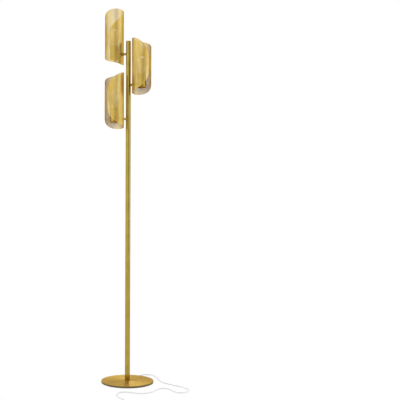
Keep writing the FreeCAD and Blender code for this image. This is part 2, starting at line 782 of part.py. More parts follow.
def coil_state(quarter):
    """The coil's middle line and its heading after a number of quarter turns."""
    pitch = size("lead_diameter") + size("turn_gap")
    angle = math.pi + quarter * math.pi / 2
    steps = quarter - COIL_REVERSAL
    radius = size("coil_inner_radius") + pitch * abs(steps) / 4
    widening = pitch / (2 * math.pi) * (steps > 0) - pitch / (2 * math.pi) * (steps < 0)
    climbed = (1 + math.sin(math.pi / 2 * max(-1, min(1, steps)))) / 2
    climbing = pitch / 2 * (steps == 0)
    outward = FreeCAD.Vector(math.cos(angle), math.sin(angle), 0)
    onward = FreeCAD.Vector(-math.sin(angle), math.cos(angle), 0)
    height = size("lead_diameter") / 2 + pitch * climbed
    centre = FreeCAD.Vector(size("coil_centre_x"), size("coil_centre_y"), height)
    heading = onward * radius + outward * widening + FreeCAD.Vector(0, 0, climbing)
    return centre + outward * radius, heading.normalize()


def coil_path():
    """Quarter turns, each of two arcs that share a heading, with a straight end each side."""
    straight = size("lead_diameter")
    start, start_heading = coil_state(0)
    edges = [Part.makeLine(start - start_heading * straight, start)]
    for quarter in range(COIL_QUARTERS):
        here, leaving = coil_state(quarter)
        there, arriving = coil_state(quarter + 1)
        across = there - here
        both = across.dot(leaving + arriving)
        spread = 2 * (1 - leaving.dot(arriving))
        reach = (math.sqrt(both ** 2 + spread * across.dot(across)) - both) / spread
        first_apex = here + leaving * reach
        second_apex = there - arriving * reach
        joint = (first_apex + second_apex) / 2
        edges.append(arc_between(here, first_apex, joint))
        edges.append(arc_between(joint, second_apex, there))
    end, end_heading = coil_state(COIL_QUARTERS)
    edges.append(Part.makeLine(end, end + end_heading * straight))
    return Part.Wire(edges)


def make_cord_coil():
    """The put-away length of the lead, wound in two layers."""
    path = coil_path()
    tube_along(path, "cord_coil")
    points = path.discretize(Distance=2.0)
    apart = int(size("coil_inner_radius") * 2)
    nearest = min(
        here.distanceToPoint(there)
        for index, here in enumerate(points)
        for there in points[index + apart // 2:]
    )
    print(f"cord_coil: least gap to itself {nearest - size('lead_diameter'):.2f} mm")


def make_cord_lead():
    """The loose lead: straight runs joined by arcs as large as the runs allow."""
    floor = size("lead_diameter") / 2
    angle = math.radians(size("gland_angle"))
    outward = FreeCAD.Vector(math.cos(angle), math.sin(angle), 0)
    tip = outward * (size("base_diameter") / 2 + size("gland_length")) + FreeCAD.Vector(0, 0, size("lead_height"))
    coil_start, coil_heading = coil_state(0)
    end = coil_start - coil_heading * size("lead_diameter")
    points = [tip, tip + outward * size("lead_straight")]
    points += [FreeCAD.Vector(x, y, floor) for x, y in CORD_ROUTE]
    points += [end - coil_heading * size("coil_approach"), end]
    edges = []
    radii = []
    leaving = points[0]
    for before, corner, after in zip(points, points[1:], points[2:]):
        back = before - corner
        ahead = after - corner
        reach = 0.45 * min(back.Length, ahead.Length)
        start = corner + back.normalize() * reach
        finish = corner + ahead.normalize() * reach
        radii.append(reach * math.tan(back.getAngle(ahead) / 2))
        edges.append(Part.makeLine(leaving, start))
        edges.append(arc_between(start, corner, finish))
        leaving = finish
    edges.append(Part.makeLine(leaving, points[-1]))
    print("cord_lead: radii", ", ".join(f"{radius:.0f}" for radius in radii))
    tube_along(Part.Wire(edges), "cord_lead")


def in_line_with_cord(thing, along, across=0.0, down=0.0):
    """Turn a piece to the coil's end and set it along the cord's own line there."""
    end, heading = coil_state(COIL_QUARTERS)
    turn = FreeCAD.Rotation(FreeCAD.Vector(1, 0, 0), heading)
    shift = FreeCAD.Vector(along, across, down)
    thing.Placement = FreeCAD.Placement(end + heading * size("lead_diameter") + turn.multVec(shift), turn)
    return thing


def make_plug():
    """A moulded two-blade plug: a tapered collar, a flared body and two flat blades."""
    half = "(lead_diameter * 3 / 2 + turn_gap)"
    body = document.addObject("PartDesign::Body", "plug_shell")
    plan = sketch_on(body, "XY_Plane", "plug_plan")
    outline(plan, [
        ("plug_collar_length", "0 - plug_back_width / 2"),
        ("plug_collar_length + plug_length / 2", "0 - plug_width / 2"),
        ("plug_collar_length + plug_length", "0 - plug_width / 2"),
        ("plug_collar_length + plug_length", "plug_width / 2"),
        ("plug_collar_length + plug_length / 2", "plug_width / 2"),
        ("plug_collar_length", "plug_back_width / 2"),
    ])
    block = body.newObject("PartDesign::Pad", "plug_block")
    block.Profile = plan
    block.Midplane = True
    bind(block, "Length", f"{half} * 2")
    document.recompute()
    front = size("plug_collar_length") + size("plug_length")
    names = []
    for number, edge in enumerate(block.Shape.Edges, start=1):
        if edge.BoundBox.XMin < front - 0.01:
            names.append(f"Edge{number}")
    fillet = body.newObject("PartDesign::Fillet", "plug_rounding")
    fillet.Base = (block, names)
    bind(fillet, "Radius", "plug_edge_round")
    collar = turned("plug_collar", [
        ("0", "0"),
        ("0", "gland_tip_diameter / 2"),
        ("plug_collar_length + plug_edge_round", "plug_collar_diameter / 2"),
        ("plug_collar_length + plug_edge_round", "0"),
    ], "H_Axis")
    named(in_line_with_cord(fuse("plug_moulding", [body, collar]), 0), "plug_body")
    for number, side in ((1, -1), (2, 1)):
        blade = document.addObject("Part::Box", f"blade_{number}")
        bind(blade, "Length", "blade_length")
        bind(blade, "Width", "blade_thickness")
        bind(blade, "Height", "blade_width")
        across = side * size("blade_spacing") / 2 - size("blade_thickness") / 2
        in_line_with_cord(blade, front, across, -size("blade_width") / 2)
        named(blade, f"plug_blade_{number}")


make_base_pad()
make_base_weight()
make_base_cover()
make_base_fixing()
make_cord_gland()
make_pole_sections()
make_pole_couplers()
make_pole_ends()
for head_name in HEADS:
    make_arm(head_name)
    make_collars(head_name)
    make_cup(head_name)
    make_holder(head_name)
    make_switch(head_name)
    make_bulb(head_name)
    make_shade(head_name)
make_cord_lead()
make_cord_coil()
make_plug()

document.recompute()

for thing in document.Objects:
    if "Invalid" in thing.State or "Error" in thing.State:
        raise RuntimeError(f"{thing.Name} did not build: {thing.State}")

os.makedirs("parts", exist_ok=True)
for piece in pieces:
    shape = piece.Shape
    if shape.isNull() or not shape.isValid() or not shape.Solids:
        raise RuntimeError(f"{piece.Label} is not a valid solid")
    shape.exportStep(f"parts/{piece.Label}.step")
    box = shape.BoundBox
    print(f"{piece.Label}: {len(shape.Solids)} solid, z {box.ZMin:.1f} to {box.ZMax:.1f}")
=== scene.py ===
import json
import math

import bpy
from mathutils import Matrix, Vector, geometry


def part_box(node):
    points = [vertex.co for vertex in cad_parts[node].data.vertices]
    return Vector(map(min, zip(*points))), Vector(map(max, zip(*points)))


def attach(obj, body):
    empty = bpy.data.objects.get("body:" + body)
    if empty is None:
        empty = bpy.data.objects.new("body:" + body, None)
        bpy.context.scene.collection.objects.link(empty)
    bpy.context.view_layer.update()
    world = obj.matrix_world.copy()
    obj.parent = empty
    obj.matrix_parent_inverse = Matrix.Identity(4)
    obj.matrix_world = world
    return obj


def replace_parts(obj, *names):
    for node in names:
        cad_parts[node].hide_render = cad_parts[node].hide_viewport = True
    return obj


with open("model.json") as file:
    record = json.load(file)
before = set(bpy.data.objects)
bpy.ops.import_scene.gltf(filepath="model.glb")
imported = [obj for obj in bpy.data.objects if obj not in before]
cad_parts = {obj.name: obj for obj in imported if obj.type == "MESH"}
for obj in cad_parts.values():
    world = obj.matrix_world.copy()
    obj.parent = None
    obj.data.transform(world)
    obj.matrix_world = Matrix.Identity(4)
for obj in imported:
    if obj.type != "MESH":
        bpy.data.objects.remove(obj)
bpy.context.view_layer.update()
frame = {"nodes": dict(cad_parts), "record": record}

# Lengths are in metres. The viewer stands at -Y, and +X is the viewer's right.
MILLIMETRES_IN_METRE = 1000
DEGREES_IN_RADIAN = 180 / math.pi

HEADS = ("upper", "middle", "lower")

# Which way each sheet is rolled, seen from above, and how far it is turned on its arm, in degrees.
ROLL = {"upper": 1, "middle": -1, "lower": 1}
TURN = {"upper": -17.8, "middle": 0.8, "lower": 3.0}

# The flat blank of a shade, how far its middle is above the arm, and the holes punched in it.
# MERGE_DISTANCE, in millimetres, is how near two points of the blank count as one.
SHEET_RADIUS = 0.0415
SHEET_THICKNESS = 0.0008
HALF_WRAP = 0.1255
HALF_HEIGHT = 0.1185
SQUARENESS = 2.43
SKEW = 0.1
RISE = -0.11
SHEET_LIFT = 0.0768
HOLE_PITCH = 0.0042
HOLE_RADIUS = 0.0013
HOLE_SIDES = 8
PLAIN_BORDER = 0.0008
GRID_OVERHANG = 1.3
OUTLINE_STEPS = 260
ARM_HOLE_RADIUS = 0.00515
ARM_HOLE_STEPS = 24
MERGE_DISTANCE = 1e-5

# The bulb, from the foot of its glass up, and its screw cap, from the tip up.
BULB_RADIUS = 0.0275
BULB_CENTRE = 0.0495
SHOULDER_ANGLE = -25.0
NECK_RADIUS = 0.0125
NECK_TOP = 0.011
GLASS_THICKNESS = 0.0007
CROWN_STEPS = 18
SHOULDER_STEPS = 12
CAP_TIP_RADIUS = 0.00475
SCREW_RADIUS = 0.0131
SCREW_START = 0.0045
SCREW_TOP = 0.027
THREAD_PITCH = 0.00363
THREAD_DEPTH = 0.0009
THREAD_FADE = 0.002
THREAD_ROWS = 10

# How finely a turned piece is faceted, and how sharp an edge isn't smoothed, in degrees.
TURNED_STEPS = 72
CREASE_ANGLE = 40.0

# The switch knob, from its foot up. Its flutes stop short of both ends.
KNOB_RADIUS = 0.0035
KNOB_LENGTH = 0.010
KNOB_ROUND = 0.0008
KNOB_ROUND_STEPS = 4
FLUTES = 18
FLUTE_DEPTH = 0.0003
FLUTE_MARGIN = 0.0012
FLUTE_RUNOUT = 0.0004
SPINDLE_RADIUS = 0.002
SPINDLE_TOP = 0.0176

# The strain relief, by distance from the lamp's axis. GLAND_CUTS are shares of a ring's length,
# each in its groove (1) or not (0).
GLAND_TAIL = 0.040
GLAND_SEAT = 0.11305
GLAND_TAPER_START = 0.1162
GLAND_RADIUS = 0.0036
GLAND_TIP_RADIUS = 0.003
GLAND_RINGS = 6
GLAND_GROOVE = 0.0006
GLAND_CUTS = ((0.05, 0), (0.1, 1), (0.35, 1), (0.4, 0), (0.95, 0))

# The cord: its route on the floor repeats the part's own.
CORD_DIAMETER = 0.005
CORD_ROUND_STEPS = 5
CORD_CURVE_STEPS = 8
CORD_EXIT_HEIGHT = 0.0054
GLAND_ANGLE = 62.0
GLAND_REACH = 0.137
CORD_STRAIGHT = 0.024
CORD_ROUTE = [
    (0.099, 0.151), (0.122, 0.130), (0.134, 0.092), (0.140, 0.046), (0.150, 0.002), (0.174, -0.034),
    (0.208, -0.066), (0.242, -0.104), (0.262, -0.142), (0.252, -0.180), (0.224, -0.198),
    (0.198, -0.186), (0.182, -0.144), (0.166, -0.118), (0.138, -0.118), (0.120, -0.156),
    (0.098, -0.192), (0.062, -0.212), (0.026, -0.200), (-0.008, -0.180), (-0.036, -0.196),
    (-0.046, -0.236), (-0.034, -0.282), (-0.008, -0.318), (0.000, -0.352),
]
COIL_CENTRE = (0.036, -0.408)
COIL_INNER_RADIUS = 0.022
COIL_APPROACH = 0.026
COIL_QUARTERS = 17
COIL_REVERSAL = 8
COIL_STEPS = 4
TURN_PITCH = 0.0056

# The strap that ties the coil where these quarter turns pass. It is wound on through TIE_TURN
# degrees, and stands out by TIE_CLIMB more after a whole turn.
TIE_QUARTERS = (3, 7, 11, 15)
TIE_WIDTH = 0.008
TIE_THICKNESS = 0.0006
TIE_CLIMB = 0.0007
TIE_START = 50.0
TIE_TURN = 430.0
TIE_STEPS = 86

# The photograph's camera: in front of the lamp and level but for a slight roll, with the lamp
# left in the frame.
IMAGE_WIDTH = 400
CAMERA_DISTANCE = 3.1
CAMERA_HEIGHT = 0.7037
PIXEL_AT_LAMP = 0.00441
LAMP_COLUMN = 127.9
HORIZON_ROW = 222.93
CAMERA_ROLL = 0.2
SENSOR_WIDTH = 36.0
NEAREST_SEEN = 0.1
FURTHEST_SEEN = 50.0

# The studio: the level of light all round, then soft screens, darker or lighter by their strength,
# as (bearing, half width, height, half height, soft edge, strength). Bearing 0 is towards the
# viewer and 90 to the viewer's right, and all are in degrees but the strength. The floor shows
# FLOOR_WHITE for its share and its own shading for the rest, which together match the background.
SURROUND = 0.83
SCREENS = [
    (22, 14, 0, 120, 14, -0.5),
    (-20, 18, 0, 120, 14, 0.22),
    (76, 14, 0, 120, 14, 0.55),
    (-66, 14, 0, 120, 14, 0.2),
    (175, 9, 44, 14, 8, 3.7),
]
WHITE = 1.0
FLOOR_REACH = 8.0
FLOOR_DROP = 0.0005
FLOOR_COLOUR = 0.9
FLOOR_ROUGHNESS = 0.9
FLOOR_WHITE = 1.025
FLOOR_WHITE_SHARE = 0.88

# Finishes: the scales of grain and patches, and how far each moves the tone and the roughness.
# A mean roughness is about what they add between them.
BRUSH_SCALE = 900.0
BRUSH_DETAIL = 4.0
SPUN_SCALE = 1400.0
SPUN_DETAIL = 2.0
SPUN_SHEEN = 0.65
SPUN_SHEEN_TURN = 0.25
BRASS_PATCH_SCALE = 22.0
BRASS_PATCH_DETAIL = 2.0
BRASS_GRAIN_TONE = 0.45
BRASS_PATCH_TONE = 0.55
BRASS_TONES = (0.3, 0.7)
BRASS_GRAIN_ROUGHNESS = 0.12
BRASS_PATCH_ROUGHNESS = 0.08
BRASS_MEAN_ROUGHNESS = 0.1
# Below these heights the base's rim is painted dark: a painted reflection of a dark floor and
# painted shade at the base's foot.
PAINTED_RIM_SHADE = (0.155, 0.108, 0.048)
PAINTED_RIM_SHADE_HEIGHTS = (0.0084, 0.0092)
METAL_PATCH_SCALE = 60.0
METAL_SHADE = 0.85
METAL_PATCH_ROUGHNESS = 0.15
METAL_MEAN_ROUGHNESS = 0.07
MOULDED_SHADE = 0.94
MOULDED_GRAIN_ROUGHNESS = 0.1
MOULDED_MEAN_ROUGHNESS = 0.05
MOULDED_BUMP = 0.4
GLASS_BEND = 1.45
GLASS_WAVE_SCALE = 40.0
GLASS_WAVE_DETAIL = 1.0
GLASS_WAVE_DEPTH = 0.0001
GLASS_WAVE_BUMP = 0.1


# ---------------------------------------------------------------- materials


class Signal:
    """A shader socket that works in sums like a number."""

    def __init__(self, graph, socket):
        self.graph = graph
        self.socket = socket

    def __add__(self, other):
        return self.graph.maths("ADD", self, other)

    def __mul__(self, other):
        return self.graph.maths("MULTIPLY", self, other)

    def __sub__(self, other):
        return self.graph.maths("SUBTRACT", self, other)

    def __rsub__(self, other):
        return self.graph.maths("SUBTRACT", other, self)

    def __abs__(self):
        return self.graph.maths("ABSOLUTE", self)

    __radd__ = __add__
    __rmul__ = __mul__

    def between(self, low, high):
        """0 at low, 1 at high, smooth between. Low may be the larger one."""
        settings = {"interpolation_type": "SMOOTHSTEP"}
        limits = {"Value": self, "From Min": low, "From Max": high}
        return self.graph.add("ShaderNodeMapRange", settings, limits, "Result")

    def blend(self, first, second):
        """The first colour where this is 0, the second where it is 1."""
        # A colour Mix has its two colours at sockets 6 and 7, and the result at 2.
        sockets = {0: self, 6: first, 7: second}
        return self.graph.add("ShaderNodeMix", {"data_type": "RGBA"}, sockets, 2)


class Graph:
    """The nodes of a material or of the world."""

    def __init__(self, tree):
        self.tree = tree

    def add(self, kind, settings=None, sockets=None, output=0):
        """One node: its settings first, then a value or a link for each socket."""
        node = self.tree.nodes.new(kind)
        for name, value in (settings or {}).items():
            setattr(node, name, value)
        self.feed(node, sockets or {})
        return Signal(self, node.outputs[output])

    def feed(self, node, sockets):
        """Give each named socket of a node its value or its link."""
        for name, value in sockets.items():
            target = node.inputs[name]
            if isinstance(value, Signal):
                self.tree.links.new(value.socket, target)
            elif target.type == "RGBA":
                target.default_value = (*value, 1)
            else:
                target.default_value = value

    def maths(self, operation, *values):
        """One Math node on numbers and signals."""
        return self.add("ShaderNodeMath", {"operation": operation}, dict(enumerate(values)))


class Finish(Graph):
    """A material round one main shader."""

    def __init__(self, name):
        self.material = bpy.data.materials.new(name)
        self.material.use_nodes = True
        super().__init__(self.material.node_tree)
        self.shader = self.tree.nodes["Principled BSDF"]

    def set(self, sockets):
        """Give the main shader's sockets their values or links."""
        self.feed(self.shader, sockets)

    def source(self, name):
        """What a socket of the main shader is linked to."""
        return Signal(self, self.shader.inputs[name].links[0].from_socket)

    def place(self):
        """The point on the surface, in metres in the lamp's own frame."""
        return self.add("ShaderNodeTexCoord", output="Object")

    def noise(self, scale, detail=3.0, stretch=(1, 1, 1)):
        """Soft patches or grain, drawn out along the axes whose stretch is small."""
        sockets = {"Vector": self.place(), "Scale": stretch}
        stretched = self.add("ShaderNodeMapping", sockets=sockets)
        sockets = {"Vector": stretched, "Scale": scale, "Detail": detail}
        return self.add("ShaderNodeTexNoise", sockets=sockets)

    def brushed(self, stretch):
        """Fine marks along the axes whose stretch is small."""
        return self.noise(BRUSH_SCALE, BRUSH_DETAIL, stretch)

    def spun(self):
        """Rings round the lamp's axis, as a lathe leaves them."""
        sockets = {0: self.place(), 1: (1, 1, 0)}
        flat = self.add("ShaderNodeVectorMath", {"operation": "MULTIPLY"}, sockets)
        radius = self.add("ShaderNodeVectorMath", {"operation": "LENGTH"}, {0: flat}, "Value")
        sockets = {"W": radius, "Scale": SPUN_SCALE, "Detail": SPUN_DETAIL}
        return self.add("ShaderNodeTexNoise", {"noise_dimensions": "1D"}, sockets)

    def bump(self, height, distance, strength=1.0):
        """Raise the surface by what a signal gives, for its shading alone."""
        sockets = {"Height": height, "Distance": distance, "Strength": strength}
        self.set({"Normal": self.add("ShaderNodeBump", sockets=sockets)})


def shaded(colour, share):
    """A colour darkened to a share of itself."""
    return tuple(share * part for part in colour)


def brass(name, dark, light, glancing, roughness, grain, depth):
    """Satin brass with a grain, soft patches of tone, and its own colour at a glancing angle."""
    finish = Finish(name)
    marks = grain(finish)
    patches = finish.noise(BRASS_PATCH_SCALE, BRASS_PATCH_DETAIL)
    tone = marks * BRASS_GRAIN_TONE + patches * BRASS_PATCH_TONE
    rougher = marks * BRASS_GRAIN_ROUGHNESS + patches * BRASS_PATCH_ROUGHNESS
    finish.set({
        "Base Color": tone.between(*BRASS_TONES).blend(dark, light),
        "Metallic": 1.0,
        "Roughness": rougher + (roughness - BRASS_MEAN_ROUGHNESS),
        "Specular Tint": glancing,
    })
    finish.bump(marks, depth)
    return finish


def tube_brass():
    """Drawn tube, brushed along its length."""
    return brass(
        "brass_tube",
        dark=(0.36, 0.265, 0.046),
        light=(0.465, 0.34, 0.076),
        glancing=(0.62, 0.455, 0.19),
        roughness=0.18,
        grain=lambda finish: finish.brushed((1, 1, 0.02)),
        depth=0.000012,
    )


def disc_brass():
    """Spun disc, its rim painted dark as painted shade and a painted reflection of a dark floor."""
    finish = brass(
        "brass_base",
        dark=(0.41, 0.27, 0.075),
        light=(0.525, 0.35, 0.115),
        glancing=(0.78, 0.655, 0.40),
        roughness=0.42,
        grain=Finish.spun,
        depth=0.00003,
    )
    height = finish.add("ShaderNodeSeparateXYZ", sockets={0: finish.place()}, output="Z")
    # The mask is 0 on the rim, where painted shade is laid, and 1 on the top.
    top = height.between(*PAINTED_RIM_SHADE_HEIGHTS)
    finish.set({
        "Base Color": top.blend(PAINTED_RIM_SHADE, finish.source("Base Color")),
        # Half metallic on the rim where the shade is painted.
        "Metallic": top.between(-1.0, 1.0),
        "Anisotropic": SPUN_SHEEN,
        "Anisotropic Rotation": SPUN_SHEEN_TURN,
    })
    return finish


def cup_brass():
    """Spun cup, smoother than the tube and a shade deeper in colour."""
    return brass(
        "cup_brass",
        dark=(0.33, 0.20, 0.02),
        light=(0.52, 0.335, 0.05),
        glancing=(0.32, 0.19, 0.02),
        roughness=0.12,
        grain=lambda finish: finish.brushed((0.05, 0.05, 1)),
        depth=0.000006,
    )


def sheet_brass():
    """Thin rolled sheet."""
    return brass(
        "brass_sheet",
        dark=(0.63, 0.445, 0.10),
        light=(0.805, 0.58, 0.155),
        glancing=(0.48, 0.385, 0.225),
        roughness=0.36,
        grain=lambda finish: finish.brushed((1, 1, 0.1)),
        depth=0.000012,
    )


def plain_metal(name, colour, roughness):
    """Bare metal with soft patches."""
    finish = Finish(name)
    patches = finish.noise(METAL_PATCH_SCALE)
    finish.set({
        "Base Color": patches.blend(shaded(colour, METAL_SHADE), colour),
        "Metallic": 1.0,
        "Roughness": patches * METAL_PATCH_ROUGHNESS + (roughness - METAL_MEAN_ROUGHNESS),
    })
    return finish


def moulded(name, colour, roughness, grain=400.0, depth=0.00003):
    """Moulded plastic or rubber with a fine even grain."""
    finish = Finish(name)
    speckle = finish.noise(grain)
    finish.set({
        "Base Color": speckle.blend(shaded(colour, MOULDED_SHADE), colour),
        "Roughness": speckle * MOULDED_GRAIN_ROUGHNESS + (roughness - MOULDED_MEAN_ROUGHNESS),
    })
    finish.bump(speckle, depth, MOULDED_BUMP)
    return finish


def clear_glass():
    """Blown glass, a little uneven."""
    finish = Finish("clear_glass")
    finish.set({
        "Base Color": (1.0, 1.0, 1.0),
        "Roughness": 0.0,
        "Transmission Weight": 1.0,
        "IOR": GLASS_BEND,
    })
    waves = finish.noise(GLASS_WAVE_SCALE, GLASS_WAVE_DETAIL)
    finish.bump(waves, GLASS_WAVE_DEPTH, GLASS_WAVE_BUMP)
    return finish


CUP_BRASS = cup_brass()

FINISHES = {
    "brass_tube": tube_brass(),
    "brass_base": disc_brass(),
    "brass_sheet": sheet_brass(),
    "brass_thread": plain_metal("brass_thread", (0.62, 0.45, 0.15), 0.3),
    "steel": plain_metal("steel", (0.5, 0.5, 0.51), 0.35),
    "weight": moulded("weight", (0.03, 0.03, 0.032), 0.6),
    "pad": moulded("pad", (0.012, 0.011, 0.010), 0.85, 900.0, 0.0001),
    "holder": moulded("holder", (0.72, 0.70, 0.64), 0.35),
    "lead": moulded("lead", (0.92, 0.92, 0.92), 0.45),
    "plug": moulded("plug", (0.76, 0.76, 0.74), 0.4),
    "glass": clear_glass(),
    "filament": moulded("filament", (0.80, 0.45, 0.12), 0.5, 1500.0),
}


def finish_cad_nodes():
    """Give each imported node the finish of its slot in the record, and the cups their own."""
    for entry in frame["record"]["subparts"]:
        node = frame["nodes"][entry["node"]]
        node.data.materials.clear()
        finish = CUP_BRASS if entry["node"].endswith("_cup") else FINISHES[entry["material_slot"]]
        node.data.materials.append(finish.material)


def link_piece(data, slot, body="lamp"):
    """Put a mesh or curve in the scene in a slot's finish, riding on a body."""
    data.materials.append(FINISHES[slot].material)
    piece = bpy.data.objects.new(data.name, data)
    bpy.context.scene.collection.objects.link(piece)
    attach(piece, body)
    return piece


def smooth_mesh(name, vertices, faces):
    """A mesh that is shaded smooth except across its creases."""
    mesh = bpy.data.meshes.new(name)
    mesh.from_pydata(vertices, [], faces)
    mesh.validate()
    mesh.shade_smooth()
    mesh.set_sharp_from_angle(angle=math.radians(CREASE_ANGLE))
    return mesh


# ---------------------------------------------------------------- perforated shades


def blank_point(angle):
    """A point of the flat blank's outline: a rounded shape that leans both ways."""
    wide = abs(math.cos(angle) / HALF_WRAP) ** SQUARENESS
    tall = abs(math.sin(angle) / HALF_HEIGHT) ** SQUARENESS
    reach = (wide + tall) ** (-1 / SQUARENESS)
    along = reach * math.cos(angle)
    up = reach * math.sin(angle)
    return Vector((along + SKEW * up, up + RISE * along))


def outline_share(point):
    """How far out a point lies, as a share of the outline's reach in its direction."""
    spread = 1 - SKEW * RISE
    along = (point.x - SKEW * point.y) / spread
    up = (point.y - RISE * point.x) / spread
    wide = abs(along / HALF_WRAP) ** SQUARENESS
    tall = abs(up / HALF_HEIGHT) ** SQUARENESS
    return (wide + tall) ** (1 / SQUARENESS)


def hole(centre, radius, steps, start=0.0):
    """The corners of a round hole, clockwise, so that its walls face into it."""
    return [
        centre + Vector((math.cos(angle), math.sin(angle))) * radius
        for angle in (start - 2 * math.pi * step / steps for step in range(steps))
    ]


def punched_loops(arm_hole):
    """The closed loops of a punched blank: its outline, then the arm's hole and the round holes."""
    outline = [blank_point(2 * math.pi * step / OUTLINE_STEPS) for step in range(OUTLINE_STEPS)]
    loops = [outline, hole(arm_hole, ARM_HOLE_RADIUS, ARM_HOLE_STEPS)]
    row_height = HOLE_PITCH * math.sqrt(3) / 2
    limit = 1 - (HOLE_RADIUS + PLAIN_BORDER) / HALF_HEIGHT
    rows = int(GRID_OVERHANG * HALF_HEIGHT / row_height)
    columns = int(GRID_OVERHANG * HALF_WRAP / HOLE_PITCH)
    for row in range(-rows, rows + 1):
        for column in range(-columns, columns + 1):
            centre = Vector(((column + 0.5 * (row % 2)) * HOLE_PITCH, row * row_height))
            if outline_share(centre) > limit:
                continue
            if (centre - arm_hole).length < ARM_HOLE_RADIUS + HOLE_RADIUS + PLAIN_BORDER:
                continue
            loops.append(hole(centre, HOLE_RADIUS, HOLE_SIDES, math.pi / HOLE_SIDES))
    return loops


def sheet_triangles(loops):
    """The loops' points, and the flat sheet's triangles and borders as numbers of those points."""
    points = []
    owner = []
    borders = []
    for number, loop in enumerate(loops):
        first = len(points)
        count = len(loop)
        points += loop
        owner += [number] * count
        borders += [(first + step, first + (step + 1) % count) for step in range(count)]
    drawn = [point * MILLIMETRES_IN_METRE for point in points]
    filled = geometry.delaunay_2d_cdt(drawn, borders, [], 0, MERGE_DISTANCE, True)
    _, _, faces, originals, _, _ = filled
    triangles = []
    for face in faces:
        corners = [originals[index][0] for index in face]
        owners = {owner[index] for index in corners}
        # A triangle with all its corners on one hole lies inside that hole.
        if len(owners) == 1 and owners != {0}:
            continue
        triangles.append(corners)
    return points, triangles, borders


def make_shade(head):
    """The punched sheet rolled into an open tube, with both faces and the walls of every hole."""
    low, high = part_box(f"{head}_cup")
    axis = (low + high) / 2
    low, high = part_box(f"{head}_arm")
    middle = (low.z + high.z) / 2 + SHEET_LIFT
    azimuth = math.atan2(axis.y, axis.x)
    turn = math.radians(TURN[head])
    arm_hole = Vector((-ROLL[head] * turn * SHEET_RADIUS, -SHEET_LIFT))
    points, triangles, borders = sheet_triangles(punched_loops(arm_hole))

    vertices = []
    for radius in (SHEET_RADIUS - SHEET_THICKNESS / 2, SHEET_RADIUS + SHEET_THICKNESS / 2):
        for point in points:
            around = azimuth + math.pi + turn + ROLL[head] * point.x / SHEET_RADIUS
            vertices.append((
                axis.x + radius * math.cos(around),
                axis.y + radius * math.sin(around),
                middle + point.y,
            ))
    # Both faces of the sheet, and then the walls of its outline and its holes.
    count = len(points)
    faces = []
    for a, b, c in triangles:
        clockwise = (points[b] - points[a]).cross(points[c] - points[a]) * ROLL[head] < 0
        if clockwise:
            b, c = c, b
        faces.append((a, c, b))
        faces.append((a + count, b + count, c + count))
    for a, b in borders:
        wall = (a, b, b + count, a + count)
        faces.append(wall if ROLL[head] > 0 else wall[::-1])
    sheet = smooth_mesh(f"{head}_punched_sheet", vertices, faces)
    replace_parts(link_piece(sheet, "brass_sheet"), f"{head}_shade")


# ---------------------------------------------------------------- turned pieces


def turned_mesh(name, profile, place, swell=None):
    """A piece turned from a profile of (radius, height) pairs that starts and ends on the axis.
    swell gives what is added to the radius at an angle and a height."""
    vertices = [place(Vector((0, 0, profile[0][1])))]
    for radius, height in profile[1:-1]:
        for step in range(TURNED_STEPS):
            angle = 2 * math.pi * step / TURNED_STEPS
            reach = radius + (swell(angle, height) if swell else 0)
            point = Vector((reach * math.cos(angle), reach * math.sin(angle), height))
            vertices.append(place(point))
    vertices.append(place(Vector((0, 0, profile[-1][1]))))
    last = len(vertices) - 1
    faces = []
    for step in range(TURNED_STEPS):
        after = (step + 1) % TURNED_STEPS
        faces.append((0, 1 + after, 1 + step))
        for ring_start in range(1, last - TURNED_STEPS, TURNED_STEPS):
            low, high = ring_start + step, ring_start + TURNED_STEPS + step
            faces.append((low, ring_start + after, ring_start + TURNED_STEPS + after, high))
        faces.append((last, last - TURNED_STEPS + step, last - TURNED_STEPS + after))
    return smooth_mesh(name, vertices, faces)


def stand_on(node):
    """A place function for pieces that stand on the foot of an upright node."""
    low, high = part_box(node)
    foot = Vector(((low.x + high.x) / 2, (low.y + high.y) / 2, low.z))
    return lambda point: foot + point


def glass_wall(wall):
    """Half of the bulb's outline from its crown to its foot, a wall's thickness inside."""
    globe = BULB_RADIUS - wall
    neck = NECK_RADIUS - wall
    points = []
    for step in range(CROWN_STEPS + 1):
        angle = math.radians(90 - (90 - SHOULDER_ANGLE) * step / CROWN_STEPS)
        points.append((globe * math.cos(angle), BULB_CENTRE + globe * math.sin(angle)))
    start_radius, start_height = points[-1]
    slope = math.tan(math.radians(-SHOULDER_ANGLE))
    fall = start_height - NECK_TOP
    for step in range(1, SHOULDER_STEPS + 1):
        share = step / SHOULDER_STEPS
        drawn_in = (start_radius - neck) * (2 * share ** 3 - 3 * share ** 2 + 1)
        lean = -slope * fall * (share ** 3 - 2 * share ** 2 + share)
        points.append((neck + drawn_in + lean, start_height - fall * share))
    points.append((neck, 0.0))
    return points


def thread_swell(angle, height):
    """The rolled thread of a screw cap, which fades out at its ends."""
    inside = min(height - SCREW_START, SCREW_TOP - height) / THREAD_FADE
    wave = math.cos(angle - 2 * math.pi * height / THREAD_PITCH) - 1
    return THREAD_DEPTH * max(0, min(1, inside)) * wave / 2


def make_bulb(head):
    """The blown glass, thin and open at its foot, and the screw cap with its rolled thread."""
    outer = glass_wall(0.0)
    inner = glass_wall(GLASS_THICKNESS)
    place = stand_on(f"{head}_bulb_glass")
    glass = turned_mesh(f"{head}_blown_glass", inner + outer[::-1], place)
    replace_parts(link_piece(glass, "glass", f"{head}_bulb"), f"{head}_bulb_glass")

    profile = [(0, 0), (CAP_TIP_RADIUS / 2, 0), (CAP_TIP_RADIUS, SCREW_START / 3)]
    rows = round((SCREW_TOP - SCREW_START) / THREAD_PITCH * THREAD_ROWS)
    for row in range(rows + 1):
        profile.append((SCREW_RADIUS, SCREW_START + (SCREW_TOP - SCREW_START) * row / rows))
    profile.append((0, SCREW_TOP))
    cap = turned_mesh(f"{head}_screw_cap", profile, stand_on(f"{head}_bulb_cap"), thread_swell)
    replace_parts(link_piece(cap, "brass_thread", f"{head}_bulb"), f"{head}_bulb_cap")


